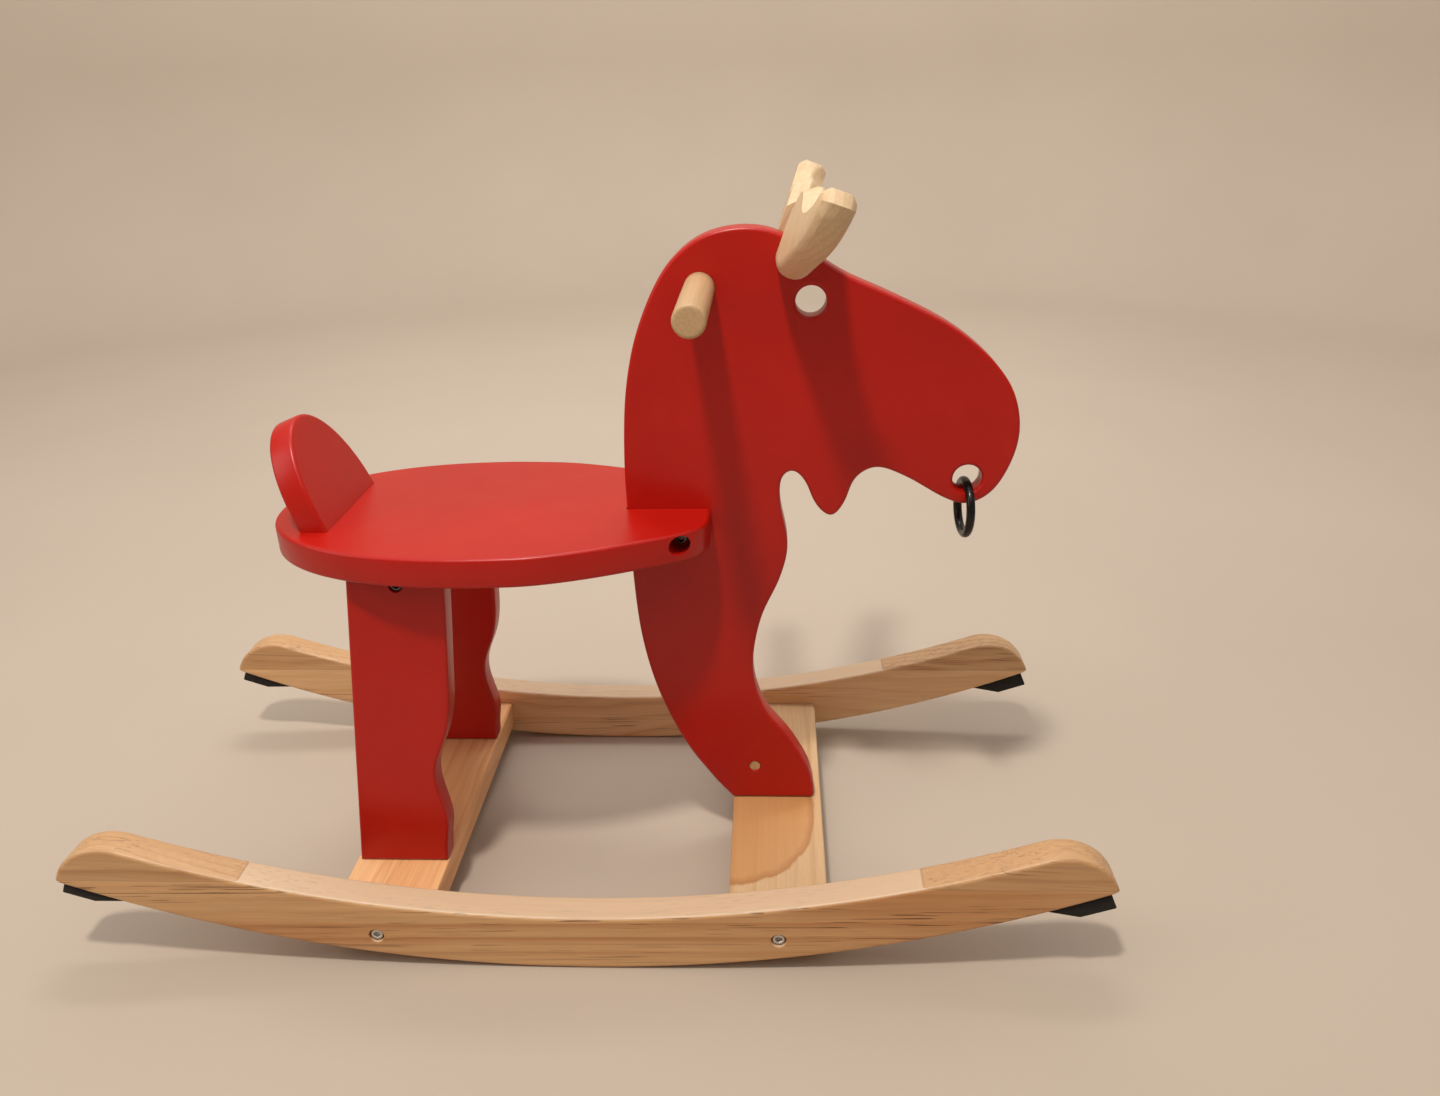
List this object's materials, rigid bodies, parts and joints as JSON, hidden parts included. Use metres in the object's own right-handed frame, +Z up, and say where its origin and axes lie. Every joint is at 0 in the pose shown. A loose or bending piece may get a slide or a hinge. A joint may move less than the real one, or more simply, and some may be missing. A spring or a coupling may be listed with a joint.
{
  "type": "rocking moose",
  "caption": "Painted board rocking toy shaped like a moose, with an oval seat, bar handle, carved antlers and a swinging nose ring, on curved wooden rockers.",
  "frame": {"origin": "on the floor, midway along the rockers and midway between them, at the rest pose", "axes": "+X towards the moose's nose, +Y to the moose's left, +Z up"},
  "size_m": [0.8489, 0.36, 0.6031],
  "materials": {
    "red_paint": "satin red paint over smooth board",
    "honey_pine": "clear satin lacquer on honey-coloured wood with dark grain streaks",
    "pale_wood": "pale turned and carved wood, matt",
    "black_plastic": "smooth black",
    "black_rubber": "matt black",
    "zinc_steel": "zinc-plated steel"
  },
  "bodies": {
    "frame": {"antler_dowel": "pale_wood", "batten_screw_1": "zinc_steel", "batten_screw_2": "zinc_steel", "foot_bolt": "zinc_steel", "foot_dowel": "pale_wood", "foot_nut": "zinc_steel", "front_left_dowel_1": "pale_wood", "front_left_dowel_2": "pale_wood", "front_left_rail_nut": "zinc_steel", "front_left_rocker_bolt": "zinc_steel", "front_left_stop": "black_rubber", "front_left_stop_screw": "zinc_steel", "front_rail": "honey_pine", "front_right_dowel_1": "pale_wood", "front_right_dowel_2": "pale_wood", "front_right_rail_nut": "zinc_steel", "front_right_rocker_bolt": "zinc_steel", "front_right_stop": "black_rubber", "front_right_stop_screw": "zinc_steel", "handle_bar": "pale_wood", "head_board": "red_paint", "left_antler": "pale_wood", "left_leg_screw_1": "zinc_steel", "left_leg_screw_2": "zinc_steel", "left_leg_top_bolt": "zinc_steel", "left_leg_top_nut": "zinc_steel", "left_rear_leg": "red_paint", "left_rocker": "honey_pine", "rear_left_dowel_1": "pale_wood", "rear_left_dowel_2": "pale_wood", "rear_left_rail_nut": "zinc_steel", "rear_left_rocker_bolt": "zinc_steel", "rear_left_stop": "black_rubber", "rear_left_stop_screw": "zinc_steel", "rear_rail": "honey_pine", "rear_right_dowel_1": "pale_wood", "rear_right_dowel_2": "pale_wood", "rear_right_rail_nut": "zinc_steel", "rear_right_rocker_bolt": "zinc_steel", "rear_right_stop": "black_rubber", "rear_right_stop_screw": "zinc_steel", "right_antler": "pale_wood", "right_leg_screw_1": "zinc_steel", "right_leg_screw_2": "zinc_steel", "right_leg_top_bolt": "zinc_steel", "right_leg_top_nut": "zinc_steel", "right_rear_leg": "red_paint", "right_rocker": "honey_pine", "seat": "red_paint", "seat_batten": "red_paint", "seat_bolt": "zinc_steel", "seat_nut": "zinc_steel", "tail_left_screw": "zinc_steel", "tail_rest": "red_paint", "tail_right_screw": "zinc_steel"},
    "ring": {"nose_ring": "black_plastic"}
  },
  "joints": [
    {"name": "nose_ring_swing", "type": "hinge", "parent": "frame", "child": "ring", "pos_m": [0.3175, 0, 0.3546], "axis": [0, 1, 0], "range_deg": [-60, 60]}
  ]
}
